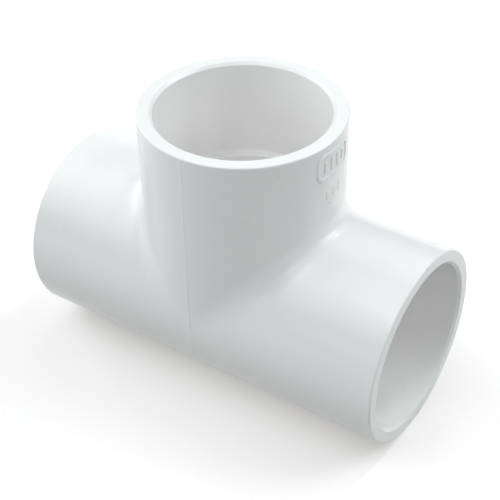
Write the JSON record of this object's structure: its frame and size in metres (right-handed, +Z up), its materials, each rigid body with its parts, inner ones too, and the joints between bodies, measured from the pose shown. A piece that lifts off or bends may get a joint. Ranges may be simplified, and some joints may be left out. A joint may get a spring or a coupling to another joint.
{
  "type": "pipe tee fitting",
  "caption": "White plastic pipe tee: a straight run with a branch square to it, and a plain solvent-weld socket at every end.",
  "frame": {"origin": "on the surface that the run rests on, straight below the branch's axis and midway along the run", "axes": "+X along the run, +Z up the branch's axis and out of its mouth, +Y across the run"},
  "size_m": [0.1444, 0.0714, 0.1077],
  "materials": {
    "white_pvc": "satin, as moulded"
  },
  "bodies": {
    "root": {"tee_body": "white_pvc"}
  },
  "joints": []
}
